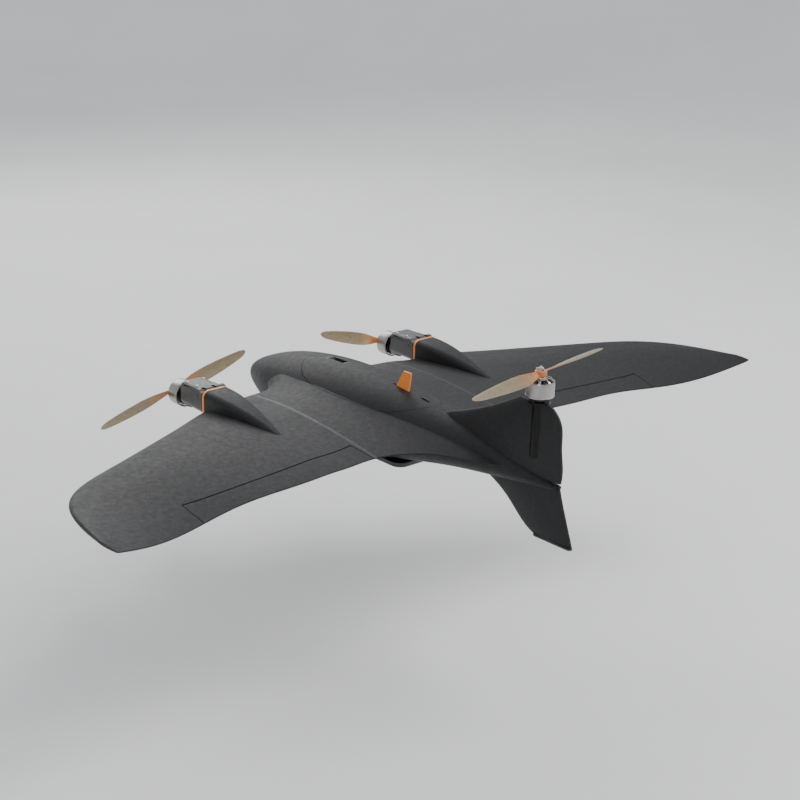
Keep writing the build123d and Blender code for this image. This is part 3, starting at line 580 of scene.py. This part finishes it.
def blade(radius, turn):
    """Twisted blade with an aerofoil section, broad before mid-span and rounded at its tip."""
    shares = [0.050, 0.09, 0.14, 0.20, 0.27, 0.35, 0.44, 0.53, 0.62, 0.71, 0.79, 0.86, 0.92, 0.96,
              0.985, 1.0]
    chord_at = [0.0, 0.07, 0.14, 0.25, 0.40, 0.60, 0.80, 0.92, 0.97, 0.99, 1.0]
    chord_share = [0.060, 0.064, 0.092, 0.138, 0.158, 0.146, 0.116, 0.088, 0.062, 0.040, 0.016]
    chord_steps = [0.5 - 0.5 * math.cos(math.pi * k / 9) for k in range(10)]
    loop = [(c, 1) for c in chord_steps] + [(c, -1) for c in reversed(chord_steps[1:-1])]
    direction = math.radians(turn)
    out = Vector((math.cos(direction), math.sin(direction), 0))
    side = Vector((-out.y, out.x, 0))
    verts, faces = [], []
    for share in shares:
        chord = radius * float(np.interp(share, chord_at, chord_share))
        pitch = math.radians(float(np.interp(share, [0.05, 0.22, 0.42, 0.75, 1.0], [34, 27, 19, 13, 9])))
        thick = float(np.interp(share, [0.05, 0.2, 0.5, 1.0], [4.4, 2.6, 1.6, 0.8]))
        lead = side * -math.cos(pitch) + Vector((0, 0, 1)) * math.sin(pitch)
        upper = lead.cross(out) * -1 if lead.cross(out).z < 0 else lead.cross(out)
        middle = out * (radius * share) + Vector((0, 0, HUB_START + HUB_HEIGHT / 2)) - lead * (0.06 * chord)
        for along, face_side in loop:
            fullness = 2.34 if face_side > 0 else 1.17
            half = thick * fullness * (0.55 * math.sqrt(along) - 0.55 * along + 0.012)
            camber = 0.05 * chord * 4 * along * (1 - along)
            spot = middle + lead * (chord * (0.5 - along)) + upper * (camber + face_side * half)
            verts.append(tuple(spot * MM))
    count = len(loop)
    for row in range(len(shares) - 1):
        for j in range(count):
            a, b = row * count + j, row * count + (j + 1) % count
            faces.append((a, b, b + count, a + count))
    faces.append(tuple(reversed(range(count))))
    faces.append(tuple(range(count * (len(shares) - 1), count * len(shares))))
    return verts, faces


def prop_hub():
    """Turned hub with soft shoulders and a bore for the shaft."""
    top = HUB_START + HUB_HEIGHT
    return turned([(1.55, HUB_START), (6.2, HUB_START), (6.9, HUB_START + 0.7), (7.0, HUB_START + 2),
                   (7.0, top - 1.4), (6.6, top - 0.4), (5.9, top), (1.55, top), (1.55, HUB_START)], 64)


def threaded_shaft():
    """Motor shaft with a chamfered end and cut thread above the hub."""
    rings = [(0, 1.5), (1.3, 1.5), (1.5, 1.7), (1.5, HUB_START + HUB_HEIGHT + 0.2)]
    height = HUB_START + HUB_HEIGHT + 0.4
    while height < 39.4:
        rings += [(1.28, height), (1.5, height + 0.22)]
        height += 0.44
    rings += [(1.2, 39.8), (0, 40.0)]
    return turned(rings, 32)


def add_bell(turning, station, suffix, place, mirrored):
    """Bell shell with a solid wall, and the ring of magnets inside its rim."""
    label = f"{station}{suffix}"
    bell = add_piece(f"bell_shell_{label}", *bell_skin(), finishes["motor_silver"], turning, place, mirrored)
    wall = bell.modifiers.new("wall", "SOLIDIFY")
    wall.thickness = BELL_WALL * MM
    wall.offset = -1.0
    wall.use_even_offset = True
    round_edges(bell, 0.25 * MM, 50, segments=2, harden=False)
    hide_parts(f"{station}_bell{suffix}")

    ring = merge([arc_block(13.55, 14.55, 6.6, 20.4, 360 / MAGNETS * k, 10.0) for k in range(MAGNETS)])
    magnets = add_piece(f"rim_magnets_{label}", *ring, finishes["magnet"], turning, place, mirrored,
                        bevel=0.15 * MM)


def add_shaft(turning, label, place, mirrored):
    shaft = add_piece(f"shaft_{label}", *threaded_shaft(), finishes["steel"], turning, place, mirrored)


def add_stator(fixed, label, place, mirrored):
    """Windings of the fixed half, and the screws that hold its base."""
    windings = merge([coil(360 / TEETH * k) for k in range(TEETH)])
    add_piece(f"windings_{label}", *windings, copper, fixed, place, mirrored)

    quarters = (0, math.pi / 2, math.pi, 1.5 * math.pi)
    seats = [(SCREW_CIRCLE * math.cos(a), SCREW_CIRCLE * math.sin(a), SCREW_SEAT) for a in quarters]
    screws = add_piece(f"motor_screws_{label}", *screw_heads(seats, 1.5, 1.3), finishes["steel"],
                       fixed, place, mirrored)


def add_propeller(turning, station, suffix, place, mirrored):
    """Two-blade propeller, as long as the CAD's width along X says."""
    low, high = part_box(f"{station}_prop{suffix}")
    half_width = (high.x - low.x) / 2
    turn = REAR_BLADE_TURN if station == "rear" else FRONT_BLADE_TURN
    tip = half_width / MM / math.cos(math.radians(turn)) * TIP_ROUNDING
    blades = merge([blade(tip, turn), blade(tip, turn + 180), prop_hub()])
    prop = add_piece(f"propeller_{station}{suffix}", *blades, finishes["prop_amber"], turning, place,
                     mirrored, sharp=50)
    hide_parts(f"{station}_prop{suffix}")


def add_motor(fixed, turning, station, suffix, mirrored):
    """Bell, magnets, shaft, windings, screws and propeller of one motor."""
    place = motor_place(f"{station}_motor_base{suffix}")
    label = f"{station}{suffix}"
    add_bell(turning, station, suffix, place, mirrored)
    add_shaft(turning, label, place, mirrored)
    add_stator(fixed, label, place, mirrored)
    add_propeller(turning, station, suffix, place, mirrored)


for motor in motors:
    add_motor(*motor)


# ---- nacelles and pull tab --------------------------------------------------------------------------------
POD_X = 172.0
LID_SCREW_OUT = 11.5
LID_SCREW_ROWS = [(-152.0, 0.62), (-171.0, 1.02)]      # y, and depth below the nacelle's highest point
for suffix, mirrored in (("port", False), ("starboard", True)):
    shell_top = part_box(f"nacelle_{suffix}")[1].z / MM
    seats = [(POD_X + side * LID_SCREW_OUT, y, shell_top - drop)
             for side in (-1, 1) for y, drop in LID_SCREW_ROWS]
    lid_screws = add_piece(f"lid_screws_{suffix}", *screw_heads(seats, 1.9, 1.1), finishes["steel"],
                           f"nacelle_{suffix}", mirrored=mirrored)


def pull_tab_leaf():
    """Trapezoid leaf of the pull tab with three grip ribs on each face."""
    outline = [(6, 84.2), (32, 84.2), (36, 113.5), (23, 113.5)]
    verts = [(x * MM, y * MM, z * MM) for x in (-1.5, 1.5) for y, z in outline]
    ribs = [block(side * 1.4 - 0.45, side * 1.4 + 0.45, y, y + 8.5, z, z + 1.0)
            for side in (-1, 1) for y, z in ((22.0, 102.5), (23.0, 105.3), (24.0, 108.1))]
    return merge([(verts, BOX_FACES), *ribs])


tab = add_piece("pull_tab_leaf", *pull_tab_leaf(), finishes["orange_plastic"], "hatch", bevel=0.45 * MM)
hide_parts("pull_tab")


# ---- battery strap ----------------------------------------------------------------------------------------
STRAP_HALF, STRAP_LOW, STRAP_HIGH = 23.7, 15.0, 54.9      # mid-line of the webbing round the battery
STRAP_WIDTH, STRAP_THICK, STRAP_LAP = 20.0, 1.1, 1.35
STRAP_Y = -140.0


def strap_path():
    """Mid-line of the webbing across the bay: once round, then over its own end on top."""
    corner = 3.0
    points = [(12.0, STRAP_HIGH)]
    for side_x, side_z, start in ((-1, 1, 90), (-1, -1, 180), (1, -1, 270), (1, 1, 360)):
        centre_x = side_x * (STRAP_HALF - corner)
        centre_z = STRAP_HIGH - corner if side_z > 0 else STRAP_LOW + corner
        for k in range(7):
            angle = math.radians(start + 15 * k)
            points.append((centre_x + corner * math.cos(angle), centre_z + corner * math.sin(angle)))
    points += [(15.5, STRAP_HIGH + 0.5), (12.0, STRAP_HIGH + STRAP_LAP), (-12.0, STRAP_HIGH + STRAP_LAP),
               (-17.0, STRAP_HIGH + STRAP_LAP + 0.5)]
    return points


def spaced(points, step):
    """The same line with points a step apart, and its length."""
    steps = [math.dist(a, b) for a, b in zip(points, points[1:])]
    reach = np.concatenate(([0.0], np.cumsum(steps)))
    at = np.linspace(0.0, reach[-1], int(reach[-1] / step) + 1)
    xs, zs = zip(*points)
    return list(zip(np.interp(at, reach, xs), np.interp(at, reach, zs))), float(reach[-1])


def strap_sheet():
    """One layer of webbing along the path, dished a little across its width, and its length."""
    line, length = spaced(strap_path(), 1.2)
    columns = 11
    verts = []
    for row, (x, z) in enumerate(line):
        for k in range(columns):
            across = k / (columns - 1) - 0.5
            lift = 0.12 * math.cos(math.pi * across) * math.sin(row * 0.35)
            verts.append((x * MM, (STRAP_Y + STRAP_WIDTH * across) * MM, (z + lift) * MM))
    faces = [(r * columns + k, r * columns + k + 1, (r + 1) * columns + k + 1, (r + 1) * columns + k)
             for r in range(len(line) - 1) for k in range(columns - 1)]
    return (verts, faces), length


webbing, strap_length = strap_sheet()
strap = add_piece("strap_webbing", *webbing, finishes["strap"], "airframe", sharp=80)
thickness = strap.modifiers.new("thickness", "SOLIDIFY")
thickness.thickness = STRAP_THICK * MM
thickness.offset = 0.0
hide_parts("battery_strap")


# ---- parts on the boards in the bay -----------------------------------------------------------------------
PLUG_X = 13.5
PLUG_ROWS = np.arange(-43.0, -14.0, 4.0)
# limits along x, y and z: two chips on the power module, three on a speed controller, and the
# aerial patch of the position receiver
CHIPS = [(12, 20, 1, 9, 21.2, 22.5), (11, 16, 13, 17, 21.2, 22.2), (-23, -17, 2, 8, 19.2, 20.3),
         (-23, -17, 10, 16, 19.2, 20.3), (-15, -10, 4, 14, 19.2, 20.4), (-1, 13, 30, 44, 20.2, 22.0)]


def add_bay_parts():
    """Plug rows with their pins, chips, a choke and a capacitor, on the boards of the equipment bay."""
    plugs = [block(side * PLUG_X - 2.6, side * PLUG_X + 2.6, y, y + 3.4, 24.2, 27.0)
             for side in (-1, 1) for y in PLUG_ROWS]
    rows = add_piece("plug_rows", *merge(plugs), finishes["black_plastic"], "airframe", bevel=0.3 * MM)

    pins = [block(side * PLUG_X + dx - 0.3, side * PLUG_X + dx + 0.3, y + 1.4, y + 2.0, 26.4, 28.0)
            for side in (-1, 1) for y in PLUG_ROWS for dx in (-1.4, 0.0, 1.4)]
    add_piece("plug_pins", *merge(pins), tinned, "airframe")

    chips = merge([block(*limits) for limits in CHIPS])
    dark = add_piece("board_chips", *chips, finishes["black_plastic"], "airframe", bevel=0.25 * MM)

    choke = add_piece("choke", *block(17.5, 23.5, 12, 18, 21.2, 24.4), finishes["motor_black"],
                      "airframe", bevel=0.6 * MM)

    can = turned([(0, 0), (3.1, 0), (3.3, 0.4), (3.3, 1.3), (3.0, 1.6), (3.3, 1.9), (3.3, 9.6),
                  (3.0, 10.0), (2.6, 9.8), (0, 9.8)], 32)
    lying = Matrix.Translation(Vector((-17, 33, 15.6)) * MM) @ Matrix.Rotation(math.radians(-90), 4, "X")
    add_piece("capacitor", *moved(can, lying), tinned, "airframe")


add_bay_parts()


# ---- camera and studio ----------------------------------------------------------------------------------
make_camera()
make_studio()
